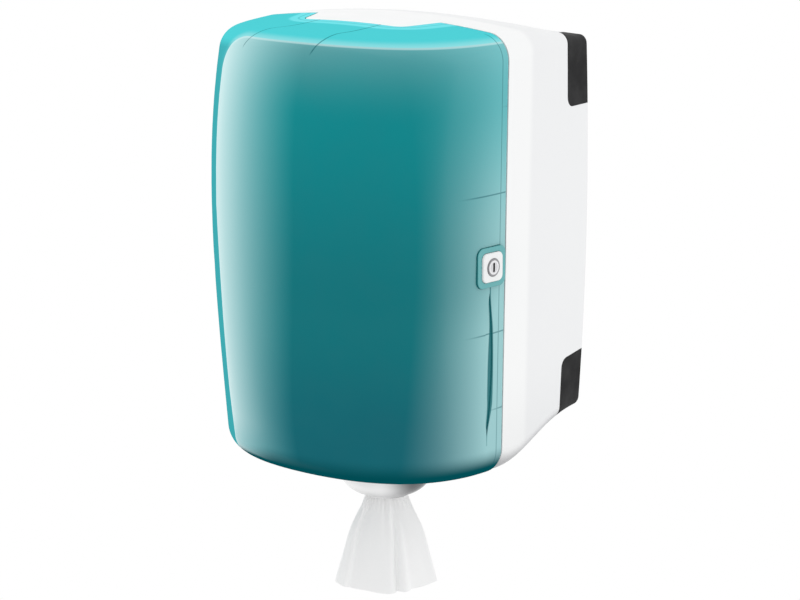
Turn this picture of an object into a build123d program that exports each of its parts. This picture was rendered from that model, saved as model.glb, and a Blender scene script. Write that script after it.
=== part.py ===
from build123d import *
import os
from math import cos, radians, sin

# Overall sizes in millimetres: the wall is the plane Y = 0, the front faces -Y, +Z is up
overall_depth = 302
body_height = 450
mount_height = 244
overrun = 40
seat_gap = 0.15
running_gap = 0.3

# Plan and side form, with heights measured from a base level just under the cover
parting_depth = 153
parting_gap = 2
cover_half_width = 152
section_height_shares = (-0.053, 0.231, 0.493, 0.758, 1.042)
section_width_shares = (1.0044, 1.0142, 1.0221, 1.0303, 1.0377)
section_depth_shares = (0.756, 1.0, 0.979, 0.963, 0.711)
section_roundness_shares = (0.774, 0.652, 0.75, 0.75, 0.75)

# Crowned top and flat underside of the cover
top_height = 458.3
crown_drop = 10.7
cover_top_slope_share = 0.061
cover_bottom_height = 8.2
cover_bottom_rise_share = 0.036
cover_top_radius = 26
cover_bottom_radius = 29

# Stations of the rear housing, from its front edge back to the wall
station_depth_shares = (1, 0.73, 0.46, 0.25, 0)
station_taper_shares = (0, 0, 0.37, 0.66, 1)
station_top_drops = (0, 0.3, 4.8, 13.3, 20.8)
station_crown_drops = (10.7, 10.7, 9, 6.5, 3.5)
station_top_radii = (26, 22, 15, 11, 9)
station_low_heights = (10, 15.5, 30.5, 41, 46)
station_low_radii = (28, 24, 20, 15, 12)
wall_low_inset = 9.3
wall_middle_inset = 4.3
wall_high_inset = 10.3

# Walls
cover_wall = 2.5
housing_wall = 3

# Tab of the housing in the top cut-out of the cover
tab_reach = 44
tab_rear_half_width = 76
tab_front_half_width = 60
tab_corner_radius = 14
tab_gap = 1
tab_floor_height = 405

# Inner lip of the housing that shades the parting line
lip_gap = 1
lip_wall = 1.6
lip_reach = 5
lip_root = 5
ledge_step = 0.8
lip_lock_half_height = 42
lip_hinge_half_height = 18
lip_hinge_reach = 45

# Corner bumpers
bumper_wall = 4
bumper_backing = 2.5
bumper_reach = 41
bumper_side_inset = 33
bumper_upper_height = 366
bumper_lower_front_height = 105
bumper_lower_wall_height = 109.3
bumper_corner_radius = 10

# Wall screws
mount_spacing_x = 160
mount_spacing_z = 240
mount_hole_radius = 2.75
mount_boss_radius = 8
mount_boss_depth = 5

# Stiffening ribs on the back plate
back_rib_half_spacing = 45
back_rib_width = 2
back_rib_depth = 8
back_rib_low_height = 110
back_rib_high_height = 430

# Cover hinge on the left side
hinge_inset = 12
hinge_setback = 22
hinge_low_height = 45
hinge_high_height = 385
hinge_pin_radius = 2
hinge_pin_clearance = 0.05
knuckle_radius = 5
arm_height = 16
arm_inner_radius = 28
arm_width = 5
arm_spoke_offset = 1
lug_thickness = 4
lug_reach = 7

# Roll shelf and its neck
feed_setback = 12
shelf_height = 64
shelf_plate = 3
shelf_side_gap = 28
shelf_rear_gap = 17
shelf_boss_depth = 11
shelf_boss_radius = 5
shelf_flange_inset = 14
shelf_flange_height = 32
shelf_screw_pitch = 60
shelf_screw_count = 4
shelf_rib_depth = 7
shelf_rib_width = 2
shelf_rib_count = 5
shelf_rib_sector = 140
shelf_rib_middle = -90
neck_inner_radius = 44
neck_wall = 3
neck_flange_radius = 66
neck_flange_height = 28.6
neck_flange_thickness = 3.4

# Nozzle, its collar and its tear ring
nozzle_flange_radius = 57.8
nozzle_flange_thickness = 3
nozzle_top_radius = 54.8
nozzle_bowl_radius = 50
nozzle_bowl_height = -14
nozzle_bend_radius = 43
nozzle_bend_height = -27.3
nozzle_lip_radius = 27
nozzle_lip_height = -37.3
nozzle_bottom_height = -39
nozzle_throat_radius = 23.6
nozzle_wall = 2.5
nozzle_lip_floor = 3.6
collar_thickness = 3
collar_lip_gap = 0.5
collar_screw_radius = 62
collar_screw_count = 4
tear_ring_wall = 2.6
tear_ring_height = 6.3
tear_ring_lift = 0.5
tear_ring_flange = 2
tear_ring_flange_thickness = 2
tear_tooth_count = 12
tear_tooth_width = 2
tear_tooth_depth = 3
housing_mouth_radius = 70
apron_wall = 2.5
apron_low_height = 6
apron_high_height = 49
cover_mouth_radius = 60

# Roll of wipes and the tail pulled through the nozzle
roll_side_gap = 35
roll_rear_gap = 24
roll_core_radius = 32
roll_height = 236
roll_edge = 3
tail_turn = 37
tail_thickness = 2.4
tail_fold_count = 4
tail_heights = (-31, -40, -92, -144)
tail_half_widths = (20.4, 20.6, 41, 53)
tail_fold_depths = (2.4, 2.6, 6.2, 8)

# Lock on the right side of the cover
lock_height = 226.5
lock_advance = 24.5
lock_sink = 1
lock_angle = 84
bezel_width = 41
bezel_height = 40
bezel_radius = 8
bezel_proud = 2.6
bezel_sink = 1.4
bezel_edge = 1
button_size = 29
button_radius = 6
button_proud = 4.6
button_back = 9.4
button_edge = 1.6
button_gap = 0.4
sleeve_wall = 1.5
sleeve_depth = 6
sleeve_gap = 0.2
cylinder_radius = 9.2
cylinder_clearance = 0.05
cylinder_proud = 5.4
cylinder_back = 12.2
cylinder_edge = 0.8
keyway_width = 2.6
keyway_height = 9.6
keyway_depth = 6
cylinder_stub_radius = 3.5
cylinder_stub_length = 4.5
cam_thickness = 1.6
cam_width = 6.4
cam_length = 12
clip_radius = 10
clip_thickness = 0.9
clip_groove = 0.8
pusher_low = -1
pusher_high = 3
pusher_inner = 10.4
pusher_outer = 13.2

# Lock case and latch behind the lock
case_half_length = 21.5
case_half_height = 20
case_front = 4.4
case_depth = 26.5
case_wall = 2
case_ear = 26
case_ear_radius = 5
case_ear_depth = 8
case_ear_thickness = 2.5
latch_pivot_reach = 14
latch_front = 14
latch_thickness = 3
latch_half_height = 13.5
latch_eye_radius = 3.6
latch_pin_radius = 1.5
latch_reach = 38
latch_barb_length = 5
latch_barb_height = 5.5
latch_barb_half_height = 8
latch_window_half_length = 8
latch_window_half_height = 9

# Strike plate on the right wall of the housing
strike_thickness = 1.5
strike_inset = 3.8
strike_setback = 3
strike_length = 31
strike_half_height = 17
strike_lip_half_height = 10
strike_lip_reach = 5
strike_lip_setback = 6.5
strike_screw_setback = 27
strike_screw_half_spacing = 11
strike_pad_margin = 2

# Cover details: inner ribs and the flute under the lock
rib_heights = (159, 297)
rib_width = 1.6
rib_depth = 5
rib_advance = 61
flute_low_height = 55
flute_high_height = 201
flute_width = 11
flute_depth = 1.2

# Small screws
screw_radius = 1.6
screw_head_radius = 3.4
screw_head_height = 2.2
screw_grip = 6
screw_slot_width = 0.9
screw_slot_depth = 0.9
short_screw_grip = 2
pilot_gap = 0.05

# Places worked out from the sizes above
cover_depth = overall_depth - parting_depth
bumper_half_gap = cover_half_width - bumper_side_inset
feed_depth = parting_depth - feed_setback
lock_depth = parting_depth + lock_advance
rib_reach_depth = parting_depth + rib_advance
strike_front_depth = parting_depth - strike_setback
strike_rear_depth = strike_front_depth - strike_length
strike_lip_depth = parting_depth - strike_lip_setback
strike_screw_depth = parting_depth - strike_screw_setback
shelf_radius = min(cover_half_width - shelf_side_gap, feed_depth - shelf_rear_gap)
shelf_flange_half_width = shelf_radius - shelf_flange_inset
roll_radius = min(cover_half_width - roll_side_gap, feed_depth - roll_rear_gap)
cover_rear = -parting_depth - parting_gap / 2
housing_front = -parting_depth + parting_gap / 2
pin_x = -(cover_half_width - hinge_inset)
pin_y = -parting_depth + hinge_setback
hinge_heights = (hinge_low_height, hinge_high_height)
shelf_screw_height = shelf_height + shelf_flange_height / 2
nozzle_flange_height = neck_flange_height - running_gap - nozzle_flange_thickness
collar_height = nozzle_flange_height - running_gap - collar_thickness
lock_normal = (sin(radians(lock_angle)), -cos(radians(lock_angle)), 0)
lock_tangent = (cos(radians(lock_angle)), sin(radians(lock_angle)), 0)


def up(height):
    """Height above the lowest edge of the cover, as a Z value in the mount's frame."""
    return height - mount_height


def half_width_at(height):
    """Half the width of the body at the parting plane, between two neighbouring sections."""
    levels = [body_height * share for share in section_height_shares]
    halves = [cover_half_width * share for share in section_width_shares]
    for low, high, start, end in zip(levels, levels[1:], halves, halves[1:]):
        if low <= height <= high:
            return start + (end - start) * (height - low) / (high - low)
    return halves[-1]


def crown_fall(drop, across):
    """Fall of a round crown at a distance from its middle, for its drop at the half width."""
    radius = (cover_half_width**2 + drop**2) / (2 * drop)
    return radius - (radius**2 - across**2) ** 0.5


def crown_outline(plane, top):
    """Everything under a crowned top, drawn on an upright plane."""
    wide = cover_half_width + overrun
    drop = crown_fall(crown_drop, wide)
    low = up(-overrun)
    with BuildSketch(plane) as outline:
        with BuildLine():
            ThreePointArc((-wide, top - drop), (0, top), (wide, top - drop))
            Polyline((wide, top - drop), (wide, low), (-wide, low), (-wide, top - drop))
        make_face()
    return outline.sketch


def cover_form(inset, rear):
    """The bulging front half of the body, shrunk by an inset on every side but the rear plane."""
    with BuildPart() as form:
        for height_share, width_share, depth_share, roundness_share in zip(
            section_height_shares, section_width_shares, section_depth_shares, section_roundness_shares
        ):
            half = cover_half_width * width_share - inset
            front = -parting_depth - cover_depth * depth_share + inset
            bulge = rear + (front - rear) * roundness_share
            shoulder = half * roundness_share
            with BuildSketch(Plane.XY.offset(up(body_height * height_share))):
                with BuildLine():
                    Bezier((half, rear), (half, bulge), (shoulder, front), (0, front))
                    Bezier((0, front), (-shoulder, front), (-half, bulge), (-half, rear))
                    Line((-half, rear), (half, rear))
                make_face()
        loft()
        under_crown = crown_outline(Plane.XZ.offset(-rear), up(top_height) - inset)
        forward = (0, -1, -cover_top_slope_share)
        extrude(under_crown, amount=cover_depth + overrun, dir=forward, mode=Mode.INTERSECT)
        base_origin = (0, -parting_depth, up(cover_bottom_height) + inset)
        split(bisect_by=Plane(origin=base_origin, z_dir=(0, cover_bottom_rise_share, 1)), keep=Keep.TOP)
        top_edges = form.faces().sort_by(Axis.Z)[-1].edges()
        rounded = [edge for edge in top_edges if edge.center().Y < rear - parting_gap]
        fillet(rounded, cover_top_radius - inset)
        base_edges = form.faces().sort_by(Axis.Z)[0].edges()
        rounded = [edge for edge in base_edges if edge.center().Y < rear - parting_gap]
        fillet(rounded, cover_bottom_radius - inset)
    return form.part


def housing_form(inset):
    """The tapered rear half of the body, shrunk by an inset on every side but the front."""
    with BuildPart() as form:
        for depth_share, taper_share, top_drop, crown, top_radius, low, low_radius in zip(
            station_depth_shares,
            station_taper_shares,
            station_top_drops,
            station_crown_drops,
            station_top_radii,
            station_low_heights,
            station_low_radii,
        ):
            high = top_height - top_drop
            low_half = half_width_at(low) - wall_low_inset * taper_share - inset
            middle_half = half_width_at((low + high) / 2) - wall_middle_inset * taper_share - inset
            high_half = half_width_at(high) - wall_high_inset * taper_share - inset
            swell = 2 * middle_half - (low_half + high_half) / 2
            shoulder = up(high) - inset - crown_fall(crown, high_half)
            foot = up(low) + inset
            waist = (shoulder + foot) / 2
            depth = min(max(parting_depth * depth_share, inset), -housing_front)
            with BuildSketch(Plane.XZ.offset(depth)) as outline:
                with BuildLine():
                    ThreePointArc((-high_half, shoulder), (0, up(high) - inset), (high_half, shoulder))
                    Bezier((high_half, shoulder), (swell, waist), (low_half, foot))
                    Line((low_half, foot), (-low_half, foot))
                    Bezier((-low_half, foot), (-swell, waist), (-high_half, shoulder))
                make_face()
                corners = outline.vertices().sort_by(Axis.Y)
                fillet(corners[:2], low_radius - inset)
                fillet(outline.vertices().sort_by(Axis.Y)[-2:], top_radius - inset)
        loft()
    return form.part


def corner_region(upper, side, grow):
    """The space of one rear corner, upper or lower, on the side -1 (left) or 1 (right)."""
    front = -bumper_reach - grow
    if upper:
        low = up(bumper_upper_height) - grow
        high = up(body_height + overrun)
        corners = [(front, low), (overrun, low), (overrun, high), (front, high)]
    else:
        low = up(-overrun)
        front_high = up(bumper_lower_front_height) + grow
        wall_high = up(bumper_lower_wall_height) + grow
        corners = [(front, front_high), (front, low), (overrun, low), (overrun, wall_high), (0, wall_high)]
    with BuildPart() as region:
        with BuildSketch(Plane.YZ.offset(side * (bumper_half_gap - grow))) as outline:
            with BuildLine():
                Polyline(*corners, close=True)
            make_face()
            rounded = outline.vertices().sort_by_distance(Vertex(front, corners[0][1], 0))[0]
            fillet(rounded, bumper_corner_radius + grow)
        extrude(amount=side * (cover_half_width + overrun))
    return region.part


def tab_outline(grow):
    """Plan outline of the top tab, grown by a gap for the cover's cut-out."""
    front = -parting_depth - tab_reach - grow
    rear = -parting_depth + overrun / 2
    rear_half = tab_rear_half_width + grow
    front_half = tab_front_half_width + grow
    with BuildSketch(Plane.XY.offset(up(tab_floor_height))) as outline:
        with BuildLine():
            Polyline(
                (rear_half, rear),
                (rear_half, -parting_depth),
                (front_half, front),
                (-front_half, front),
                (-rear_half, -parting_depth),
                (-rear_half, rear),
                close=True,
            )
        make_face()
        fillet(outline.vertices().group_by(Axis.Y)[0], tab_corner_radius + grow)
    return outline.sketch


def top_tab():
    """The tongue that carries the crowned top of the housing forward into the cover."""
    plane = Plane.XZ.offset(-housing_front)
    forward = (0, -1, -cover_top_slope_share)
    reach = tab_reach + overrun
    with BuildPart() as tab:
        extrude(crown_outline(plane, up(top_height)), amount=reach, dir=forward)
        lower = crown_outline(plane, up(top_height) - housing_wall)
        extrude(lower, amount=reach, dir=forward, mode=Mode.SUBTRACT)
        extrude(tab_outline(0), amount=body_height, mode=Mode.INTERSECT)
    return tab.part


def screw(length):
    """A slotted pan-head screw whose head seats on the plane Z = 0 and whose shank points down."""
    with BuildPart() as body:
        with BuildSketch():
            Circle(screw_head_radius)
        extrude(amount=screw_head_height)
        with BuildSketch():
            Circle(screw_radius)
        extrude(amount=-length)
        with BuildSketch(Plane.XY.offset(screw_head_height - screw_slot_depth)):
            Rectangle(screw_head_radius * 2, screw_slot_width)
        extrude(amount=overrun, mode=Mode.SUBTRACT)
    return body.part


def save(piece, name):
    piece.part.label = name
    export_step(piece.part, f"parts/{name}.step")


os.makedirs("parts", exist_ok=True)
lock_origin = (half_width_at(lock_height) - lock_sink, -lock_depth, up(lock_height))
lock_plane = Plane(origin=lock_origin, x_dir=lock_tangent, z_dir=lock_normal)
lock_axis = Axis(lock_origin, lock_normal)
latch_plane = Plane(origin=lock_origin, x_dir=lock_tangent, z_dir=(0, 0, 1))
feed_axis = Axis((0, -feed_depth, 0), (0, 0, 1))
feed_plane = Plane.XZ.offset(feed_depth)
strike_x = half_width_at(lock_height) - strike_inset
corner_keys = [(upper, side) for upper in (True, False) for side in (-1, 1)]
cover_outer = cover_form(0, cover_rear)
cover_inner = cover_form(cover_wall, cover_rear)
cover_rib_face = cover_form(cover_wall + rib_depth, cover_rear)
flute_floor = cover_form(flute_depth, cover_rear)
lip_outer = cover_form(cover_wall + lip_gap, housing_front)
lip_inner = cover_form(cover_wall + lip_gap + lip_wall, housing_front)
ledge_inner = housing_form(cover_wall + lip_gap + lip_wall + ledge_step)
housing_outer = housing_form(0)
housing_inner = housing_form(housing_wall)
bumper_inner = housing_form(bumper_wall)
recess_floor = housing_form(bumper_wall + seat_gap)
backing_front = housing_form(housing_wall / 2)
backing_rear = housing_form(bumper_wall + seat_gap + bumper_backing)

# Flute: the long leaf-shaped groove pressed into the cover under the lock
with BuildPart() as flute:
    flute_middle = (flute_low_height * 2 + flute_high_height) / 3
    with BuildSketch(Plane.YZ):
        with BuildLine():
            low_tip = (-lock_depth, up(flute_low_height))
            high_tip = (-lock_depth, up(flute_high_height))
            ThreePointArc(low_tip, (-lock_depth - flute_width / 2, up(flute_middle)), high_tip)
            ThreePointArc(high_tip, (-lock_depth + flute_width / 2, up(flute_middle)), low_tip)
        make_face()
    extrude(amount=cover_half_width + overrun)
    add(cover_outer, mode=Mode.INTERSECT)
    add(flute_floor, mode=Mode.SUBTRACT)

# Lip: a ledge inside the front edge of the housing with a thin rim that enters the cover
with BuildPart() as lip:
    add(lip_outer)
    add(lip_inner, mode=Mode.SUBTRACT)
    add(backing_front - ledge_inner)
    with BuildSketch(Plane.XZ.offset(-housing_front - lip_root)):
        Rectangle(cover_half_width * 3, body_height * 3)
    extrude(amount=lip_root + lip_reach, mode=Mode.INTERSECT)
    with BuildSketch(Plane.XZ.offset(-housing_front - overrun)):
        with Locations((cover_half_width, up(lock_height))):
            Rectangle(cover_half_width, lip_lock_half_height * 2)
        with Locations((-cover_half_width, up(hinge_low_height)), (-cover_half_width, up(hinge_high_height))):
            Rectangle(lip_hinge_reach * 2, lip_hinge_half_height * 2)
        with Locations((0, up(tab_floor_height))):
            tab_width = (tab_rear_half_width + lip_root) * 2
            Rectangle(tab_width, body_height, align=(Align.CENTER, Align.MIN))
    extrude(amount=overrun * 2, mode=Mode.SUBTRACT)

# Front cover: a translucent bowl with a top cut-out, a nozzle mouth and two hinge arms
with BuildPart() as front_cover:
    add(cover_inner)
    add(cover_rib_face, mode=Mode.SUBTRACT)
    with BuildSketch(Plane.YZ):
        for rib_height in rib_heights:
            with Locations((-rib_reach_depth, up(rib_height))):
                rib_reach = rib_reach_depth - parting_depth - lip_reach - lip_gap * 2
                Rectangle(rib_reach, rib_width, align=(Align.MIN, Align.CENTER))
    extrude(amount=cover_half_width + overrun, both=True, mode=Mode.INTERSECT)
    add(cover_outer - cover_inner)
    extrude(tab_outline(tab_gap), amount=body_height, mode=Mode.SUBTRACT)
    with BuildSketch(Plane.XY.offset(up(-overrun))):
        with Locations((0, -feed_depth)):
            Circle(cover_mouth_radius)
    extrude(amount=overrun * 2, mode=Mode.SUBTRACT)
    with BuildSketch(lock_plane.offset(-case_ear_depth)):
        with Locations((0, case_ear), (0, -case_ear)):
            Circle(case_ear_radius)
    extrude(amount=case_ear_depth - cover_wall / 2)
    with BuildSketch(lock_plane.offset(-case_ear_depth)):
        with Locations((0, case_ear), (0, -case_ear)):
            Circle(screw_radius + pilot_gap)
    extrude(amount=case_ear_depth - cover_wall, mode=Mode.SUBTRACT)
    with BuildSketch(lock_plane.offset(-case_ear_depth)):
        opening = button_size + 2 * (button_gap + sleeve_wall + sleeve_gap)
        RectangleRounded(opening, opening, button_radius + button_gap + sleeve_wall + sleeve_gap)
    extrude(amount=overrun, mode=Mode.SUBTRACT)
    with BuildSketch(lock_plane.offset(-bezel_sink)):
        RectangleRounded(bezel_width + 2 * seat_gap, bezel_height + 2 * seat_gap, bezel_radius + seat_gap)
    extrude(amount=overrun, mode=Mode.SUBTRACT)
    add(flute.part, mode=Mode.SUBTRACT)
    for hinge_height in hinge_heights:
        arm_left = -(half_width_at(hinge_height) - cover_wall / 2)
        arm_outer = arm_inner_radius + arm_width
        with BuildSketch(Plane.XY.offset(up(hinge_height) - arm_height / 2)):
            with Locations((pin_x, pin_y)):
                Circle(arm_outer)
                Circle(arm_inner_radius, mode=Mode.SUBTRACT)
            with Locations((arm_left, pin_y)):
                Rectangle(overrun, arm_outer * 2, align=(Align.MAX, Align.CENTER), mode=Mode.SUBTRACT)
            with Locations((pin_x, pin_y + arm_spoke_offset)):
                Rectangle(arm_outer * 2, overrun, align=(Align.CENTER, Align.MIN), mode=Mode.SUBTRACT)
                Rectangle(arm_outer, arm_width, align=(Align.MIN, Align.MIN))
            with Locations((pin_x, pin_y)):
                Circle(knuckle_radius)
                Circle(hinge_pin_radius + hinge_pin_clearance, mode=Mode.SUBTRACT)
        extrude(amount=arm_height)
save(front_cover, "front_cover")

# Apron: a round wall that rises inside the housing from the rear half of its mouth
with BuildPart() as apron:
    with BuildSketch(Plane.XY.offset(up(apron_low_height))):
        with Locations((0, -feed_depth)):
            Circle(housing_mouth_radius + apron_wall)
            Circle(housing_mouth_radius, mode=Mode.SUBTRACT)
        with Locations((0, housing_front)):
            apron_span = 2 * (housing_mouth_radius + apron_wall)
            Rectangle(apron_span, apron_span, align=(Align.CENTER, Align.MAX), mode=Mode.SUBTRACT)
    extrude(amount=apron_high_height - apron_low_height)
    add(housing_outer, mode=Mode.INTERSECT)

# Rear housing: a tapered shell with a back plate, a top tab, hinge lugs and corner recesses
with BuildPart() as rear_housing:
    for upper, side in corner_keys:
        add(corner_region(upper, side, bumper_backing))
    add(backing_front, mode=Mode.INTERSECT)
    add(backing_rear, mode=Mode.SUBTRACT)
    add(housing_outer - housing_inner)
    for upper, side in corner_keys:
        add(corner_region(upper, side, seat_gap) - recess_floor, mode=Mode.SUBTRACT)
    add(top_tab())
    add(lip.part)
    with BuildSketch(Plane.XZ):
        with Locations((0, up((back_rib_low_height + back_rib_high_height) / 2))):
            with GridLocations(back_rib_half_spacing * 2, 0, 2, 1):
                Rectangle(back_rib_width, back_rib_high_height - back_rib_low_height)
    extrude(amount=back_rib_depth)
    with BuildSketch(Plane.XZ):
        with GridLocations(mount_spacing_x, mount_spacing_z, 2, 2):
            Circle(mount_boss_radius)
    extrude(amount=mount_boss_depth)
    with BuildSketch(Plane.XZ):
        with GridLocations(mount_spacing_x, mount_spacing_z, 2, 2):
            Circle(mount_hole_radius)
    extrude(amount=overrun, both=True, mode=Mode.SUBTRACT)
    with BuildSketch(Plane.XZ):
        with Locations((0, up(shelf_screw_height))):
            with GridLocations(shelf_screw_pitch, 0, shelf_screw_count, 1):
                Circle(shelf_boss_radius)
    extrude(amount=shelf_boss_depth)
    with BuildSketch(Plane.XZ.offset(housing_wall)):
        with Locations((0, up(shelf_screw_height))):
            with GridLocations(shelf_screw_pitch, 0, shelf_screw_count, 1):
                Circle(screw_radius + pilot_gap)
    extrude(amount=overrun, mode=Mode.SUBTRACT)
    for hinge_height in hinge_heights:
        lug_left = -(half_width_at(hinge_height) - housing_wall / 2)
        lug_levels = (arm_height / 2 + running_gap, -arm_height / 2 - running_gap - lug_thickness)
        for level in lug_levels:
            with BuildSketch(Plane.XY.offset(up(hinge_height) + level)):
                with Locations((lug_left, pin_y)):
                    Rectangle(pin_x + lug_reach - lug_left, lug_reach * 2, align=(Align.MIN, Align.CENTER))
                with Locations((pin_x, pin_y)):
                    Circle(hinge_pin_radius + pilot_gap, mode=Mode.SUBTRACT)
            extrude(amount=lug_thickness)
    with BuildSketch(Plane.YZ.offset(strike_x)):
        with Locations((-strike_front_depth, up(lock_height))):
            pad_height = 2 * (strike_half_height + strike_pad_margin)
            Rectangle(strike_front_depth - strike_rear_depth, pad_height, align=(Align.MIN, Align.CENTER))
    extrude(amount=housing_wall / 2)
    with BuildSketch(Plane.YZ.offset(strike_x)):
        with Locations((-strike_screw_depth, up(lock_height))):
            with GridLocations(0, strike_screw_half_spacing * 2, 1, 2):
                Circle(screw_radius + pilot_gap)
    extrude(amount=short_screw_grip, mode=Mode.SUBTRACT)
    with BuildSketch(Plane.XY.offset(up(-overrun))):
        with Locations((0, -feed_depth)):
            Circle(housing_mouth_radius)
    extrude(amount=apron_high_height + overrun, mode=Mode.SUBTRACT)
    add(apron.part)
save(rear_housing, "rear_housing")

# Four dark bumpers that wrap the rear corners flush with the housing
bumper_names = ("bumper_top_left", "bumper_top_right", "bumper_bottom_left", "bumper_bottom_right")
for (upper, side), bumper_name in zip(corner_keys, bumper_names):
    with BuildPart() as bumper:
        add(corner_region(upper, side, 0))
        add(housing_outer, mode=Mode.INTERSECT)
        add(bumper_inner, mode=Mode.SUBTRACT)
    save(bumper, bumper_name)

# Steel hinge pins, each with a head above its upper lug
pin_half = arm_height / 2 + running_gap + lug_thickness
for hinge_height, pin_name in zip(hinge_heights, ("hinge_pin_lower", "hinge_pin_upper")):
    with BuildPart() as hinge_pin:
        with BuildSketch(Plane.XY.offset(up(hinge_height) - pin_half)):
            with Locations((pin_x, pin_y)):
                Circle(hinge_pin_radius)
        extrude(amount=pin_half * 2)
        with BuildSketch(Plane.XY.offset(up(hinge_height) + pin_half)):
            with Locations((pin_x, pin_y)):
                Circle(hinge_pin_radius * 2)
        extrude(amount=hinge_pin_radius)
    save(hinge_pin, pin_name)

# Strike plate with a bent lip, and its two screws
with BuildPart() as latch_strike:
    with BuildSketch(Plane.YZ.offset(strike_x - strike_thickness)):
        with Locations((-strike_front_depth, up(lock_height))):
            plate_length = strike_front_depth - strike_rear_depth
            Rectangle(plate_length, strike_half_height * 2, align=(Align.MIN, Align.CENTER))
        with Locations((-strike_screw_depth, up(lock_height))):
            with GridLocations(0, strike_screw_half_spacing * 2, 1, 2):
                Circle(screw_radius + pilot_gap, mode=Mode.SUBTRACT)
    extrude(amount=strike_thickness)
    with BuildSketch(Plane.YZ.offset(strike_x - strike_thickness)):
        with Locations((-strike_lip_depth, up(lock_height))):
            Rectangle(strike_thickness, strike_lip_half_height * 2, align=(Align.MIN, Align.CENTER))
    extrude(amount=-strike_lip_reach)
save(latch_strike, "latch_strike")

strike_seats = [
    Plane(
        origin=(strike_x - strike_thickness, -strike_screw_depth, up(lock_height) + offset),
        x_dir=(0, 1, 0),
        z_dir=(-1, 0, 0),
    )
    for offset in (-strike_screw_half_spacing, strike_screw_half_spacing)
]
with BuildPart() as strike_screws:
    with Locations(*strike_seats):
        add(screw(strike_thickness + short_screw_grip - seat_gap))
save(strike_screws, "strike_screws")

# Roll shelf: a round plate with a rear flange, a neck for the nozzle and ribs underneath
with BuildPart() as roll_shelf:
    with BuildSketch(Plane.XY.offset(up(shelf_height - shelf_plate))):
        with Locations((0, -feed_depth)):
            Circle(shelf_radius)
            rear_length = feed_depth - shelf_boss_depth
            Rectangle(shelf_flange_half_width * 2, rear_length, align=(Align.CENTER, Align.MIN))
            Circle(neck_inner_radius, mode=Mode.SUBTRACT)
    extrude(amount=shelf_plate)
    with BuildSketch(Plane.XZ.offset(shelf_boss_depth)):
        with Locations((0, up(shelf_height))):
            flange_width = shelf_flange_half_width * 2
            Rectangle(flange_width, shelf_flange_height, align=(Align.CENTER, Align.MIN))
        with Locations((0, up(shelf_screw_height))):
            with GridLocations(shelf_screw_pitch, 0, shelf_screw_count, 1):
                Circle(screw_radius + pilot_gap, mode=Mode.SUBTRACT)
    extrude(amount=shelf_plate)
    rib_start = shelf_rib_middle - shelf_rib_sector / 2
    rib_step = shelf_rib_sector / (shelf_rib_count - 1)
    rib_length = shelf_radius - neck_inner_radius - shelf_plate
    with BuildSketch(Plane.XY.offset(up(shelf_height - shelf_plate - shelf_rib_depth))):
        with Locations((0, -feed_depth)):
            rib_root = neck_inner_radius + neck_wall / 2
            with PolarLocations(rib_root, shelf_rib_count, rib_start, rib_step * shelf_rib_count):
                Rectangle(rib_length, shelf_rib_width, align=(Align.MIN, Align.CENTER))
    extrude(amount=shelf_rib_depth)
    neck_top = shelf_height - shelf_plate / 2
    with BuildSketch(Plane.XY.offset(up(neck_flange_height))):
        with Locations((0, -feed_depth)):
            Circle(neck_inner_radius + neck_wall)
            Circle(neck_inner_radius, mode=Mode.SUBTRACT)
    extrude(amount=neck_top - neck_flange_height)
    with BuildSketch(Plane.XY.offset(up(neck_flange_height))):
        with Locations((0, -feed_depth)):
            Circle(neck_flange_radius)
            Circle(neck_inner_radius, mode=Mode.SUBTRACT)
            with PolarLocations(collar_screw_radius, collar_screw_count):
                Circle(screw_radius + pilot_gap, mode=Mode.SUBTRACT)
    extrude(amount=neck_flange_thickness)
save(roll_shelf, "roll_shelf")

with BuildPart() as shelf_screws:
    with Locations(Plane.XZ.offset(shelf_boss_depth + shelf_plate)):
        with Locations((0, up(shelf_screw_height))):
            with GridLocations(shelf_screw_pitch, 0, shelf_screw_count, 1):
                add(screw(shelf_plate + screw_grip))
save(shelf_screws, "shelf_screws")

# Collar: a stepped ring that holds the flange of the nozzle up against the neck
with BuildPart() as nozzle_collar:
    with BuildSketch(Plane.XY.offset(up(collar_height))):
        with Locations((0, -feed_depth)):
            Circle(neck_flange_radius)
            Circle(nozzle_top_radius + collar_lip_gap, mode=Mode.SUBTRACT)
            with PolarLocations(collar_screw_radius, collar_screw_count):
                Circle(screw_radius + pilot_gap, mode=Mode.SUBTRACT)
    extrude(amount=neck_flange_height - collar_height)
    with BuildSketch(Plane.XY.offset(up(collar_height + collar_thickness))):
        with Locations((0, -feed_depth)):
            Circle(nozzle_flange_radius + collar_lip_gap)
    extrude(amount=overrun, mode=Mode.SUBTRACT)
save(nozzle_collar, "nozzle_collar")

with BuildPart() as collar_screws:
    with Locations(Plane(origin=(0, -feed_depth, up(collar_height)), x_dir=(1, 0, 0), z_dir=(0, 0, -1))):
        with PolarLocations(collar_screw_radius, collar_screw_count):
            add(screw(neck_flange_height - collar_height + neck_flange_thickness - seat_gap))
save(collar_screws, "collar_screws")

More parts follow.
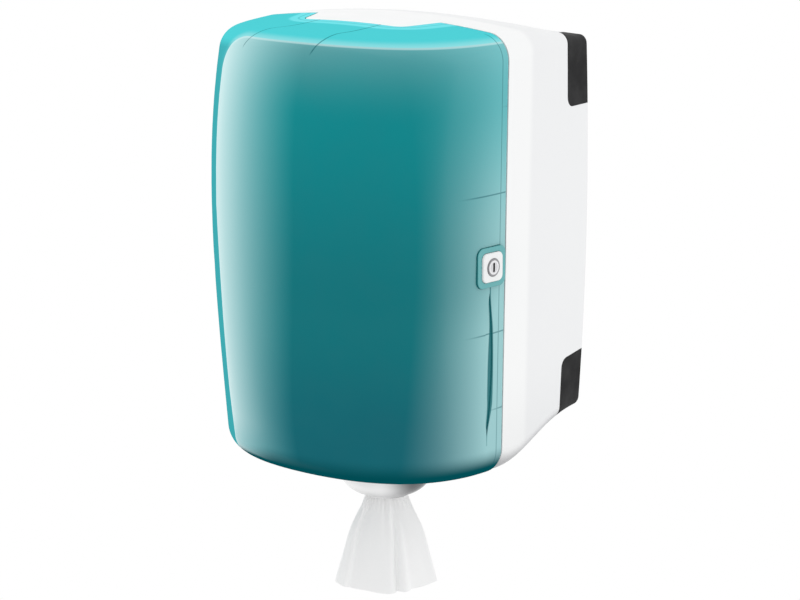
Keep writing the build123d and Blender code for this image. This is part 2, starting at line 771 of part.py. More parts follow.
# Nozzle: a turned white bowl with a flange on top and a round throat below
with BuildPart() as nozzle:
    flange_top = up(nozzle_flange_height + nozzle_flange_thickness)
    with BuildSketch(feed_plane):
        with BuildLine():
            Polyline(
                (nozzle_bowl_radius - nozzle_wall, up(nozzle_bowl_height)),
                (nozzle_top_radius - nozzle_wall, flange_top),
                (nozzle_flange_radius, flange_top),
                (nozzle_flange_radius, up(nozzle_flange_height)),
                (nozzle_top_radius, up(nozzle_flange_height)),
                (nozzle_bowl_radius, up(nozzle_bowl_height)),
            )
            ThreePointArc(
                (nozzle_bowl_radius, up(nozzle_bowl_height)),
                (nozzle_bend_radius, up(nozzle_bend_height)),
                (nozzle_lip_radius, up(nozzle_lip_height)),
            )
            Polyline(
                (nozzle_lip_radius, up(nozzle_lip_height)),
                (nozzle_throat_radius + nozzle_wall / 2, up(nozzle_bottom_height)),
                (nozzle_throat_radius, up(nozzle_bottom_height)),
                (nozzle_throat_radius, up(nozzle_bottom_height + nozzle_lip_floor)),
            )
            ThreePointArc(
                (nozzle_throat_radius, up(nozzle_bottom_height + nozzle_lip_floor)),
                (nozzle_bend_radius - nozzle_wall * 2 / 3, up(nozzle_bend_height + nozzle_wall * 2 / 3)),
                (nozzle_bowl_radius - nozzle_wall, up(nozzle_bowl_height)),
            )
        make_face()
    revolve(axis=feed_axis)
save(nozzle, "nozzle")

# Tear ring: a flanged sleeve in the throat with slots between its teeth
with BuildPart() as tear_ring:
    ring_low = up(nozzle_bottom_height + tear_ring_lift)
    with BuildSketch(Plane.XY.offset(ring_low)):
        with Locations((0, -feed_depth)):
            Circle(nozzle_throat_radius - seat_gap)
    extrude(amount=tear_ring_height)
    with BuildSketch(Plane.XY.offset(ring_low + tear_ring_height - tear_ring_flange_thickness)):
        with Locations((0, -feed_depth)):
            Circle(nozzle_throat_radius + tear_ring_flange)
    extrude(amount=tear_ring_flange_thickness)
    with BuildSketch(Plane.XY.offset(ring_low)):
        with Locations((0, -feed_depth)):
            Circle(nozzle_throat_radius - tear_ring_wall)
    extrude(amount=tear_ring_height, mode=Mode.SUBTRACT)
    with BuildSketch(Plane.XY.offset(ring_low)):
        with Locations((0, -feed_depth)):
            with PolarLocations(nozzle_throat_radius - tear_ring_wall, tear_tooth_count):
                Rectangle(tear_ring_wall * 2, tear_tooth_width)
    extrude(amount=tear_tooth_depth, mode=Mode.SUBTRACT)
save(tear_ring, "tear_ring")

# Roll of wipes, wound without a core and pulled from the middle
with BuildPart() as wipe_roll:
    with BuildSketch(Plane.XY.offset(up(shelf_height) + running_gap)):
        with Locations((0, -feed_depth)):
            Circle(roll_radius)
            Circle(roll_core_radius, mode=Mode.SUBTRACT)
    extrude(amount=roll_height)
    chamfer(wipe_roll.edges().filter_by(GeomType.CIRCLE), roll_edge)
save(wipe_roll, "wipe_roll")

# Tail of the wipe: gathered in the throat and falling in folds to its hem
with BuildPart() as wipe_tail:
    for height, half, depth in zip(tail_heights, tail_half_widths, tail_fold_depths):
        tail_plane = Plane(origin=(0, -feed_depth, up(height)), z_dir=(0, 0, 1)).rotated((0, 0, tail_turn))
        step = half * 2 / tail_fold_count
        with BuildSketch(tail_plane):
            with BuildLine():
                for shift in (-tail_thickness / 2, tail_thickness / 2):
                    for fold in range(tail_fold_count):
                        start = -half + step * fold
                        swing = depth if fold % 2 else -depth
                        crest = (start + step / 2, swing + shift)
                        ThreePointArc((start, shift), crest, (start + step, shift))
                Line((half, -tail_thickness / 2), (half, tail_thickness / 2))
                Line((-half, -tail_thickness / 2), (-half, tail_thickness / 2))
            make_face()
    loft()
save(wipe_tail, "wipe_tail")

# Lock bezel: a raised square frame whose sleeve passes through the cover
with BuildPart() as lock_bezel:
    with BuildSketch(lock_plane.offset(-bezel_sink)):
        RectangleRounded(bezel_width, bezel_height, bezel_radius)
    extrude(amount=bezel_sink + bezel_proud)
    fillet(lock_bezel.faces().sort_by(lock_axis)[-1].edges(), bezel_edge)
    with BuildSketch(lock_plane.offset(-sleeve_depth)):
        sleeve = button_size + 2 * (button_gap + sleeve_wall)
        RectangleRounded(sleeve, sleeve, button_radius + button_gap + sleeve_wall)
    extrude(amount=sleeve_depth)
    with BuildSketch(lock_plane.offset(-sleeve_depth)):
        window = button_size + 2 * button_gap
        RectangleRounded(window, window, button_radius + button_gap)
    extrude(amount=overrun, mode=Mode.SUBTRACT)
save(lock_bezel, "lock_bezel")

# Push button with a bore for the key cylinder and two pushers on the latch
with BuildPart() as lock_button:
    with BuildSketch(lock_plane.offset(-button_back)):
        RectangleRounded(button_size, button_size, button_radius)
    extrude(amount=button_back + button_proud)
    fillet(lock_button.faces().sort_by(lock_axis)[-1].edges(), button_edge)
    with BuildSketch(lock_plane.offset(-latch_front + running_gap)):
        with Locations(((pusher_low + pusher_high) / 2, 0)):
            with GridLocations(0, pusher_inner + pusher_outer, 1, 2):
                Rectangle(pusher_high - pusher_low, pusher_outer - pusher_inner)
    extrude(amount=latch_front - running_gap - button_back)
    with BuildSketch(lock_plane.offset(-button_back)):
        Circle(cylinder_radius + cylinder_clearance)
    extrude(amount=overrun, mode=Mode.SUBTRACT)
save(lock_button, "lock_button")

# Key cylinder with its keyway, a groove for the clip and a stub for the cam
clip_low = button_back + running_gap + clip_thickness
with BuildPart() as key_cylinder:
    with BuildSketch(lock_plane.offset(-cylinder_back)):
        Circle(cylinder_radius)
    extrude(amount=cylinder_back + cylinder_proud)
    chamfer(key_cylinder.faces().sort_by(lock_axis)[-1].edges(), cylinder_edge)
    with BuildSketch(lock_plane.offset(cylinder_proud - keyway_depth)):
        SlotOverall(keyway_height, keyway_width, rotation=90)
    extrude(amount=overrun, mode=Mode.SUBTRACT)
    with BuildSketch(lock_plane.offset(-clip_low)):
        Circle(cylinder_radius + clip_groove)
        Circle(cylinder_radius - clip_groove, mode=Mode.SUBTRACT)
    extrude(amount=clip_thickness, mode=Mode.SUBTRACT)
    with BuildSketch(lock_plane.offset(-cylinder_back)):
        Circle(cylinder_stub_radius)
    extrude(amount=-cylinder_stub_length)
save(key_cylinder, "key_cylinder")

with BuildPart() as cylinder_clip:
    with BuildSketch(lock_plane.offset(-clip_low)):
        Circle(clip_radius)
        Circle(cylinder_radius - clip_groove, mode=Mode.SUBTRACT)
        with Locations((clip_radius, 0)):
            Rectangle(clip_radius, clip_radius, mode=Mode.SUBTRACT)
    extrude(amount=clip_thickness)
save(cylinder_clip, "cylinder_clip")

with BuildPart() as cylinder_cam:
    with BuildSketch(lock_plane.offset(-cylinder_back - cylinder_stub_length)):
        SlotOverall(cam_length, cam_width)
    extrude(amount=-cam_thickness)
save(cylinder_cam, "cylinder_cam")

# Lock case: an open box behind the bezel that carries the latch pin
with BuildPart() as lock_case:
    with BuildSketch(lock_plane.offset(-case_depth)):
        RectangleRounded(case_half_length * 2, case_half_height * 2, case_wall)
    extrude(amount=case_depth - case_front)
    with BuildSketch(lock_plane.offset(-case_ear_depth - case_ear_thickness)):
        with Locations((0, case_ear), (0, -case_ear)):
            Circle(case_ear_radius)
        Rectangle(case_ear_radius * 2, case_ear * 2)
    extrude(amount=case_ear_thickness)
    with BuildSketch(lock_plane.offset(-case_depth + case_wall)):
        Rectangle((case_half_length - case_wall) * 2, (case_half_height - case_wall) * 2)
    extrude(amount=overrun, mode=Mode.SUBTRACT)
    with BuildSketch(lock_plane.offset(-case_depth + case_wall)):
        with Locations((case_half_length, 0)):
            Rectangle(case_half_length, (latch_half_height + case_wall / 2) * 2)
    extrude(amount=case_depth - case_wall - case_ear_depth, mode=Mode.SUBTRACT)
    with BuildSketch(lock_plane.offset(-case_depth)):
        with Locations((0, case_ear), (0, -case_ear)):
            Circle(screw_radius + pilot_gap)
    extrude(amount=case_depth, mode=Mode.SUBTRACT)
    with BuildSketch(latch_plane.offset(-case_half_height)):
        with Locations((-latch_pivot_reach, latch_front + latch_thickness / 2)):
            Circle(latch_pin_radius + pilot_gap)
    extrude(amount=case_half_height * 2, mode=Mode.SUBTRACT)
save(lock_case, "lock_case")

case_seat = Plane(
    origin=lock_plane.from_local_coords((0, 0, -case_ear_depth - case_ear_thickness)),
    x_dir=(0, 0, 1),
    z_dir=[-value for value in lock_normal],
)
with BuildPart() as lock_case_screws:
    with Locations(case_seat):
        with GridLocations(case_ear * 2, 0, 2, 1):
            add(screw(case_ear_thickness + short_screw_grip * 2))
save(lock_case_screws, "lock_case_screws")

with BuildPart() as latch_pin:
    with BuildSketch(latch_plane.offset(-case_half_height)):
        with Locations((-latch_pivot_reach, latch_front + latch_thickness / 2)):
            Circle(latch_pin_radius)
    extrude(amount=case_half_height * 2)
save(latch_pin, "latch_pin")

# Latch: a lever with an eye, a window round the cylinder and a barb behind the strike lip
with BuildPart() as latch_hook:
    with BuildSketch(latch_plane.offset(-latch_half_height)):
        with Locations((-latch_pivot_reach, latch_front + latch_thickness / 2)):
            Circle(latch_eye_radius)
            lever_length = latch_pivot_reach + latch_reach
            Rectangle(lever_length, latch_thickness, align=(Align.MIN, Align.CENTER))
            Circle(latch_pin_radius + pilot_gap, mode=Mode.SUBTRACT)
    extrude(amount=latch_half_height * 2)
    with BuildSketch(lock_plane.offset(-latch_front - latch_thickness)):
        Rectangle(latch_window_half_length * 2, latch_window_half_height * 2)
    extrude(amount=latch_thickness, mode=Mode.SUBTRACT)
    barb_root = latch_reach - latch_barb_length
    with BuildSketch(latch_plane.offset(-latch_barb_half_height)):
        with BuildLine():
            Polyline(
                (barb_root, latch_front),
                (barb_root, latch_front - latch_barb_height),
                (latch_reach - latch_barb_length / 2, latch_front - latch_barb_height),
                (latch_reach, latch_front - latch_barb_height / 4),
                (latch_reach, latch_front),
                close=True,
            )
        make_face()
    extrude(amount=latch_barb_half_height * 2)
save(latch_hook, "latch_hook")
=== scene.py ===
import math
import random

import bpy
import numpy as np
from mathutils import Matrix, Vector


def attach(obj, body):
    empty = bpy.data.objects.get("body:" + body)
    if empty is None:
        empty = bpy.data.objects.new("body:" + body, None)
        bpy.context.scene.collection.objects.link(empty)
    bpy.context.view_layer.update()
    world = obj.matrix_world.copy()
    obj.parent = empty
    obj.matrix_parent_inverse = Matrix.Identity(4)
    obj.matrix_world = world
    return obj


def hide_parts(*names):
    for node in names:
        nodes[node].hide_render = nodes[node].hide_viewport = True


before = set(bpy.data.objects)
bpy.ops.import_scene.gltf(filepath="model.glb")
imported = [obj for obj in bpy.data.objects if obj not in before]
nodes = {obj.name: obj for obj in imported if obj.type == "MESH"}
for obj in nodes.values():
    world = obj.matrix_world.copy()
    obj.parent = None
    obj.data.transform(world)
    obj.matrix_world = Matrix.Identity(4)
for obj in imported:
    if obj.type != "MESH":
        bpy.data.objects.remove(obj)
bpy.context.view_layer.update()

# Sizes in metres, in the frame of the wall mount
MOUNT_HEIGHT = 0.244
COVER_MIDDLE = (0.0, -0.153, -0.02)
LOCK_CENTRE = (0.1544078, -0.1775, -0.0175)
LOCK_AXIS = (0.994522, -0.104528, 0.0)
FEED_Y = -0.141
ROLL_LOW = 0.0643 - MOUNT_HEIGHT
ROLL_HEIGHT = 0.236
ROLL_RADIUS = 0.117
ROLL_CORE = 0.032
VIEW_TURN = math.radians(37)


def up(height):
    """Height over the dispenser's base as a Z value."""
    return height - MOUNT_HEIGHT


# Node helpers
def link(tree, source, target):
    tree.links.new(source, target)


def feed(tree, socket, value):
    """Link a socket, or set it to a plain number, vector or colour."""
    if isinstance(value, bpy.types.NodeSocket):
        link(tree, value, socket)
    elif socket.type == "RGBA":
        socket.default_value = (*value, 1.0)
    else:
        socket.default_value = value


def node(tree, kind, **values):
    made = tree.nodes.new(kind)
    for name, value in values.items():
        made.inputs[name].default_value = value
    return made


def coords(tree, kind="Object"):
    return tree.nodes.new("ShaderNodeTexCoord").outputs[kind]


def separate(tree, vector):
    made = tree.nodes.new("ShaderNodeSeparateXYZ")
    link(tree, vector, made.inputs[0])
    return made.outputs


def noise(tree, vector, scale, detail=4.0, roughness=0.55):
    made = node(tree, "ShaderNodeTexNoise", Scale=scale, Detail=detail, Roughness=roughness)
    link(tree, vector, made.inputs["Vector"])
    return made.outputs["Fac"]


def remap(tree, value, low, high, to_low=0.0, to_high=1.0, smooth=True):
    """Map a range of a value to another range, from 0 to 1 unless given."""
    made = tree.nodes.new("ShaderNodeMapRange")
    made.interpolation_type = "SMOOTHSTEP" if smooth else "LINEAR"
    sockets = ("From Min", "From Max", "To Min", "To Max")
    for socket, number in zip(sockets, (low, high, to_low, to_high)):
        made.inputs[socket].default_value = number
    link(tree, value, made.inputs["Value"])
    return made.outputs["Result"]


def math_node(tree, operation, *values):
    made = tree.nodes.new("ShaderNodeMath")
    made.operation = operation
    for socket, value in zip(made.inputs, values):
        feed(tree, socket, value)
    return made.outputs[0]


def vector_node(tree, operation, *values):
    made = tree.nodes.new("ShaderNodeVectorMath")
    made.operation = operation
    for socket, value in zip(made.inputs, values):
        feed(tree, socket, value)
    return made.outputs["Value" if operation in ("DOT_PRODUCT", "LENGTH") else "Vector"]


def plus(tree, first, second):
    return math_node(tree, "ADD", first, second)


def minus(tree, first, second):
    return math_node(tree, "SUBTRACT", first, second)


def times(tree, *values):
    out = values[0]
    for value in values[1:]:
        out = math_node(tree, "MULTIPLY", out, value)
    return out


def most(tree, *values):
    out = values[0]
    for value in values[1:]:
        out = math_node(tree, "MAXIMUM", out, value)
    return out


def near(tree, value, centre, half, soft):
    """One inside a band round the centre, fading to zero over the soft distance."""
    off = math_node(tree, "ABSOLUTE", minus(tree, value, centre))
    return remap(tree, off, half, half + soft, 1.0, 0.0)


def rounded(tree, first, second, radius):
    """Distance outside two sides that meet in a rounded corner."""
    first, second = most(tree, first, 0.0), most(tree, second, 0.0)
    square = plus(tree, times(tree, first, first), times(tree, second, second))
    return minus(tree, math_node(tree, "SQRT", square), radius)


def facing(tree, direction):
    """How far a surface of the piece faces a fixed direction."""
    return vector_node(tree, "DOT_PRODUCT", coords(tree, "Normal"), direction)


def mix(tree, factor, first, second, blend="MIX"):
    made = tree.nodes.new("ShaderNodeMix")
    made.data_type = "RGBA"
    made.blend_type = blend
    feed(tree, made.inputs[0], factor)
    feed(tree, made.inputs[6], first)
    feed(tree, made.inputs[7], second)
    return made.outputs[2]


# Material helpers
GLOSS_RANGE = (0.3, 0.7)
GLOSS_SCALE = 34.0
GLOSS_LOW, GLOSS_HIGH = 0.85, 1.2
DRIFT_SCALE = 9.0
GRAIN_HEIGHT = 0.0004


def linear(*rgb):
    """Screen colour from 0 to 255 to scene colour."""
    out = []
    for value in rgb:
        share = value / 255
        out.append(share / 12.92 if share <= 0.04045 else ((share + 0.055) / 1.055) ** 2.4)
    return tuple(out)


def new_material(name):
    material = bpy.data.materials.new(name)
    material.use_nodes = True
    tree = material.node_tree
    tree.nodes.clear()
    output = tree.nodes.new("ShaderNodeOutputMaterial")
    shader = tree.nodes.new("ShaderNodeBsdfPrincipled")
    link(tree, shader.outputs["BSDF"], output.inputs["Surface"])
    return material, tree, shader


def bump(tree, height, strength, distance, shader):
    made = node(tree, "ShaderNodeBump", Strength=strength, Distance=distance)
    link(tree, height, made.inputs["Height"])
    link(tree, made.outputs["Normal"], shader.inputs["Normal"])


def plastic(name, colour, rough, grain_scale, grain, spread):
    """Moulded plastic with a fine grain, uneven gloss and slight colour drift."""
    material, tree, shader = new_material(name)
    place = coords(tree)
    drift = noise(tree, place, DRIFT_SCALE, detail=3.0)
    darker = tuple(c * (1 - spread) for c in colour)
    lighter = tuple(min(1.0, c * (1 + spread)) for c in colour)
    link(tree, mix(tree, drift, darker, lighter), shader.inputs["Base Color"])
    gloss = noise(tree, place, GLOSS_SCALE, detail=5.0)
    gloss = remap(tree, gloss, *GLOSS_RANGE, rough * GLOSS_LOW, rough * GLOSS_HIGH)
    link(tree, gloss, shader.inputs["Roughness"])
    bump(tree, noise(tree, place, grain_scale, detail=2.0), grain, GRAIN_HEIGHT, shader)
    return material, tree, shader


def base_colour(shader):
    return shader.inputs["Base Color"].links[0].from_socket


# Translucent teal of the cover, painted by place on its outer face, with painted reflections,
# light and shade
TEAL_SHADED_LOW = linear(22, 104, 117)
TEAL_MIDDLE = linear(20, 121, 128)
TEAL_LIT_HIGH = linear(14, 144, 149)
TEAL_CLOUD = linear(18, 126, 134)
TEAL_LEFT_REFLECTION = linear(128, 226, 230)
TEAL_BOTTOM_SHADE = linear(2, 82, 90)
TEAL_LINE = linear(8, 96, 106)
TEAL_FLUTE_SHADE = linear(18, 112, 118)
REFLECTION_LEFT = linear(230, 252, 252)
REFLECTION_RIGHT_HIGH = linear(142, 234, 239)
REFLECTION_RIGHT_LOW = linear(194, 243, 244)
TOP_LIGHT_LEFT = linear(222, 246, 246)
TOP_LIGHT_RIGHT = linear(196, 244, 247)
CREASE_HIGHLIGHT = linear(214, 248, 248)
WALL_SIDE = linear(66, 176, 183)
WALL_TOP_LIT = linear(82, 213, 219)
WALL_PAINTED_GLOW = linear(190, 242, 244)
LIP_HIGHLIGHT = linear(126, 238, 245)
LIP_LINE = linear(60, 180, 188)
COVER_SHADE = (0.94, 0.94, 0.94)
COVER_GLOSS_SCALE = 40.0
COVER_GLOSS = (0.17, 0.23)
COVER_SPECULAR = 0.14
COVER_GRAIN_SCALE = 60.0
COVER_GRAIN = 0.02
INNER_TO_OUTER = (-0.01, 0.01)
LOW_SHADE_FADE = (up(0.03), up(0.19))
HIGH_LIGHT_FADE = (up(0.19), up(0.4))
CLOUD_SCALE = 5.0
CLOUD_FADE = (0.35, 0.65, 0.0, 0.2)
LEFT_FADE = (0.008, -0.101)
LEFT_TEAL_SHARE = 0.6
LEFT_REFLECTION_POWER = 2.2
LEFT_REFLECTION_BY_HEIGHT = (-0.2, 0.0, 0.78, 0.68)
LEFT_REFLECTION_AT_BOTTOM = (up(0.03), up(0.065), 0.55, 1.0)
RIGHT_FADE = (-0.262, -0.16)
RIGHT_POWER = 1.25
RIGHT_START = (0.05, 0.12)
RIGHT_BY_HEIGHT = (0.17, 0.02, 0.38, 0.56)
RIGHT_GAIN_LOW = (-0.02, -0.1, 1.0, 1.4)
RIGHT_REFLECTION_HEIGHTS = (0.17, 0.0)
RIGHT_MOST = 0.62
TOP_LIGHT_FADE = (0.125, 0.198, 0.0, 0.43)
TOP_LIGHT_ACROSS = (-0.02, 0.08)
BOTTOM_SHADE_FADE = (up(0.042), up(0.02))
BOTTOM_LIFT_LEFT = (-0.02, -0.09, 0.0, 0.011)
TURNED_UNDER = (-0.4, -0.68)
TURNED_UP = (0.1, 0.6)
ON_RIGHT_SIDE = (0.1, 0.12)
PANEL_TOP = 0.1632
PANEL_CORNER = 0.035
PANEL_LEFT_HEIGHTS = (0.03, -0.19)
PANEL_LEFT_PLACES = (-0.072, -0.0565)
PANEL_BEYOND = (-0.0004, 0.0006)
CREASE_BAND = (-0.0006, 0.0003, 0.0011)
CREASE_STRENGTH = 0.5
WALL_PAINTED_GLOW_FADE = (0.0005, 0.006, 0.4, 0.0)
CUTOUT_TAPER = (0.942, 0.335)
CUTOUT_SIDE = 0.1088
CUTOUT_FRONT = 0.183
CUTOUT_CORNER = 0.015
LIP_HIGHLIGHT_FADE = (0.016, 0.022, 0.8, 0.0)
LIP_LINE_BAND = (0.0085, 0.0004, 0.0014)
LIP_LINE_STRENGTH = 0.45
RIBS = ((0.297, -0.222), (0.159, -0.211), (0.081, -0.180), (0.381, -0.163))
RIB_BAND = (0.0004, 0.0006)
RIB_REACH = (-0.004, 0.03)
RIB_STRENGTH = 0.8
RIM_BAND = (-0.1625, 0.0003, 0.0006)
RIM_FADE = (0.1, 0.3, 0.0, 0.7)
TOP_LINE_BAND = (0.0004, 0.0008)
TOP_LINE_FADE = (0.186, 0.192, 0.0, 0.9)
TOP_LINES = ((-0.038, -0.213, 17.9, 3.0, 0.033), (0.0375, -0.205, 13.9, 4.0, 0.021))
LINE_STRENGTH = 0.75
FLUTE_DEPTH = -0.1733
FLUTE_LOW, FLUTE_HIGH = 0.046, 0.206
FLUTE_WIDEN = (up(FLUTE_HIGH), up(0.12), 0.0008, 0.0034)
FLUTE_NARROW = (up(0.1), up(FLUTE_LOW), 0.0, -0.0032)
FLUTE_BEND_HIGH = (up(0.2), up(0.16), -0.0032, 0.0)
FLUTE_BEND_LOW = (up(0.09), up(0.055), 0.0, 0.0042)
FLUTE_EDGE = (-0.0008, 0.0008)
FLUTE_END = 0.001
FLUTE_STRENGTH = 0.95


def panel_edge(tree, x, z):
    """Distance outside the front panel's edge, which rounds from its top into its left side."""
    side = remap(tree, z, *PANEL_LEFT_HEIGHTS, *PANEL_LEFT_PLACES, smooth=False)
    return rounded(tree, minus(tree, side, x), minus(tree, z, PANEL_TOP), PANEL_CORNER)


def cutout_edge(tree, x, y):
    """Distance outside the tapered cut-out in the cover's top."""
    across, along = CUTOUT_TAPER
    aside = times(tree, math_node(tree, "ABSOLUTE", x), across)
    aside = minus(tree, aside, times(tree, y, along))
    ahead = times(tree, y, -1.0)
    return rounded(tree, minus(tree, aside, CUTOUT_SIDE), minus(tree, ahead, CUTOUT_FRONT),
                   CUTOUT_CORNER)


def body_teal(tree, place, z):
    """Deep colour, with painted shade low down and painted light high up, and slightly cloudy."""
    colour = mix(tree, remap(tree, z, *LOW_SHADE_FADE), TEAL_SHADED_LOW, TEAL_MIDDLE)
    colour = mix(tree, remap(tree, z, *HIGH_LIGHT_FADE), colour, TEAL_LIT_HIGH)
    cloud = noise(tree, place, CLOUD_SCALE, detail=3.0)
    return mix(tree, remap(tree, cloud, *CLOUD_FADE), colour, TEAL_CLOUD)


def painted_reflection_left(tree, colour, x, z):
    """Painted reflection round the left side, a little less at the bottom."""
    side = remap(tree, x, *LEFT_FADE, smooth=False)
    colour = mix(tree, times(tree, side, LEFT_TEAL_SHARE), colour, TEAL_LEFT_REFLECTION)
    strength = times(tree, math_node(tree, "POWER", side, LEFT_REFLECTION_POWER),
                     remap(tree, z, *LEFT_REFLECTION_BY_HEIGHT), remap(tree, z, *LEFT_REFLECTION_AT_BOTTOM))
    return mix(tree, strength, colour, REFLECTION_LEFT)


def painted_reflection_right(tree, colour, x, y, z):
    """Painted reflection round the right side, stronger low down."""
    level = times(tree, remap(tree, z, *RIGHT_BY_HEIGHT), remap(tree, z, *RIGHT_GAIN_LOW))
    side = math_node(tree, "POWER", remap(tree, y, *RIGHT_FADE, smooth=False), RIGHT_POWER)
    strength = times(tree, side, remap(tree, x, *RIGHT_START), level)
    pale = mix(tree, remap(tree, z, *RIGHT_REFLECTION_HEIGHTS), REFLECTION_RIGHT_HIGH, REFLECTION_RIGHT_LOW)
    return mix(tree, math_node(tree, "MINIMUM", strength, RIGHT_MOST), colour, pale)


def painted_light_top(tree, colour, x, z):
    """Painted light towards the top edge of the front panel."""
    glow = remap(tree, z, *TOP_LIGHT_FADE, smooth=False)
    pale = mix(tree, remap(tree, x, *TOP_LIGHT_ACROSS), TOP_LIGHT_LEFT, TOP_LIGHT_RIGHT)
    return mix(tree, times(tree, glow, glow), colour, pale)


def bottom_shade_share(tree, x, z, nz):
    """One along the bottom edge and underneath, where shade is painted."""
    height = plus(tree, z, remap(tree, x, *BOTTOM_LIFT_LEFT))
    return most(tree, remap(tree, height, *BOTTOM_SHADE_FADE), remap(tree, nz, *TURNED_UNDER))


def wall_teal(tree, edge, x, y, nz):
    """Clear rim outside the front panel, with painted light on its upward faces, a painted glow
    near the panel's edge and a painted highlight on the lip of the cut-out.
    """
    top = remap(tree, nz, *TURNED_UP)
    colour = mix(tree, top, WALL_SIDE, WALL_TOP_LIT)
    glow = remap(tree, edge, *WALL_PAINTED_GLOW_FADE)
    colour = mix(tree, times(tree, top, glow), colour, WALL_PAINTED_GLOW)
    rim = cutout_edge(tree, x, y)
    lip = remap(tree, rim, *LIP_HIGHLIGHT_FADE)
    colour = mix(tree, times(tree, top, lip), colour, LIP_HIGHLIGHT)
    line = near(tree, rim, *LIP_LINE_BAND)
    return mix(tree, times(tree, top, line, LIP_LINE_STRENGTH), colour, LIP_LINE)


def line_share(tree, x, y, z, nx):
    """Fine dark lines: the ribs, the rim at the parting and two bowed lines over the top."""
    lines = []
    for height, front in RIBS:
        band = near(tree, z, up(height), *RIB_BAND)
        start, end = (front + reach for reach in RIB_REACH)
        along = remap(tree, y, start, end, 0.0, RIB_STRENGTH)
        lines.append(times(tree, band, along, remap(tree, x, *ON_RIGHT_SIDE)))
    rim = near(tree, y, *RIM_BAND)
    lines.append(times(tree, rim, remap(tree, nx, *RIM_FADE)))
    over = remap(tree, z, *TOP_LINE_FADE)
    for centre, start, rate, power, bow in TOP_LINES:
        reach = most(tree, times(tree, minus(tree, y, start), -rate), 0.0)
        bend = times(tree, math_node(tree, "POWER", reach, power), -bow)
        line = near(tree, minus(tree, x, bend), centre, *TOP_LINE_BAND)
        lines.append(times(tree, line, over))
    return times(tree, most(tree, *lines), LINE_STRENGTH)


def flute_shade_share(tree, x, y, z):
    """Painted shade in a slender bowed flute under the lock."""
    breadth = plus(tree, remap(tree, z, *FLUTE_WIDEN), remap(tree, z, *FLUTE_NARROW))
    bend = minus(tree, remap(tree, z, *FLUTE_BEND_HIGH), remap(tree, z, *FLUTE_BEND_LOW))
    off = minus(tree, minus(tree, y, FLUTE_DEPTH), bend)
    inside = minus(tree, breadth, math_node(tree, "ABSOLUTE", off))
    middle, half = (FLUTE_LOW + FLUTE_HIGH) / 2, (FLUTE_HIGH - FLUTE_LOW) / 2
    return times(tree, remap(tree, inside, *FLUTE_EDGE), remap(tree, x, *ON_RIGHT_SIDE),
                 near(tree, z, up(middle), half, FLUTE_END), FLUTE_STRENGTH)


def outer_share(tree, place):
    """One on the cover's outer face, zero on its inner face."""
    reach = vector_node(tree, "SUBTRACT", place, COVER_MIDDLE)
    outward = vector_node(tree, "DOT_PRODUCT", reach, coords(tree, "Normal"))
    return remap(tree, outward, *INNER_TO_OUTER)


def teal_cover():
    material, tree, shader = new_material("cover_teal")
    place = coords(tree)
    x, y, z = separate(tree, place)
    nx, _, nz = separate(tree, coords(tree, "Normal"))
    inner = body_teal(tree, place, z)
    # Painted reflections round the left and right sides and painted light at the top of the front
    # panel
    front = painted_reflection_left(tree, inner, x, z)
    front = painted_reflection_right(tree, front, x, y, z)
    front = painted_light_top(tree, front, x, z)
    # Painted shade along the bottom edge and on faces turned down
    bottom = bottom_shade_share(tree, x, z, nz)
    front = mix(tree, bottom, front, TEAL_BOTTOM_SHADE)
    edge = panel_edge(tree, x, z)
    beyond = remap(tree, edge, *PANEL_BEYOND)
    colour = mix(tree, beyond, front, wall_teal(tree, edge, x, y, nz))
    # Painted highlight along the crease at the front panel's edge
    crease = times(tree, near(tree, edge, *CREASE_BAND), CREASE_STRENGTH)
    colour = mix(tree, crease, colour, CREASE_HIGHLIGHT)
    colour = mix(tree, line_share(tree, x, y, z, nx), colour, TEAL_LINE)
    colour = mix(tree, flute_shade_share(tree, x, y, z), colour, TEAL_FLUTE_SHADE)
    colour = mix(tree, outer_share(tree, place), inner, colour)
    colour = mix(tree, 1.0, colour, COVER_SHADE, "MULTIPLY")
    link(tree, colour, shader.inputs["Base Color"])
    gloss = remap(tree, noise(tree, place, COVER_GLOSS_SCALE), *GLOSS_RANGE, *COVER_GLOSS)
    link(tree, gloss, shader.inputs["Roughness"])
    specular = remap(tree, most(tree, beyond, bottom), 0.0, 1.0, COVER_SPECULAR, 0.0)
    link(tree, specular, shader.inputs["Specular IOR Level"])
    grain = noise(tree, place, COVER_GRAIN_SCALE, detail=2.0)
    bump(tree, grain, COVER_GRAIN, GRAIN_HEIGHT, shader)
    return material


# Plastics and metals of the other pieces
BEZEL_FACE = linear(100, 172, 174)
BEZEL_SIDE_SHADE = linear(20, 112, 116)
BEZEL_TURN = (0.35, 0.9)
HOUSING_WHITE = linear(236, 237, 238)
HOUSING_FRONT_LIT = linear(244, 245, 245)
HOUSING_UNDER_SHADE = linear(132, 133, 136)
HOUSING_LOW_SHADE = linear(160, 161, 164)
HOUSING_BEND = (-0.107, -0.117)
HOUSING_UNDER_SHADE_FADE = (-0.02, -0.75, 0.0, 0.85)
HOUSING_LOW_SHADE_FADE = (-0.12, -0.235, 0.0, 0.12)
NOZZLE_WHITE = linear(253, 253, 253)
NOZZLE_UNDER_SHADE = linear(150, 151, 153)
NOZZLE_RIGHT_SHADE = linear(86, 87, 90)
NOZZLE_UNDER_SHADE_FADE = (0.5, 0.95, 0.0, 0.5)
NOZZLE_RIGHT_SHADE_FADE = (-0.12, 0.55, 0.0, 0.95)
DOWNWARD = (0.0, 0.0, -1.0)
RIGHT_REAR = (0.8, 0.6, 0.0)
CYLINDER_FACE = linear(226, 226, 228)
CYLINDER_RING = linear(138, 138, 141)
CYLINDER_BORE = linear(150, 150, 153)
KEYWAY_SHADE = linear(16, 16, 18)
RING_EDGE = (0.0066, 0.0074)
BORE_EDGE = (0.0044, 0.006, 0.35, 0.0)
KEYWAY_DEPTH = (0.0053, 0.005)
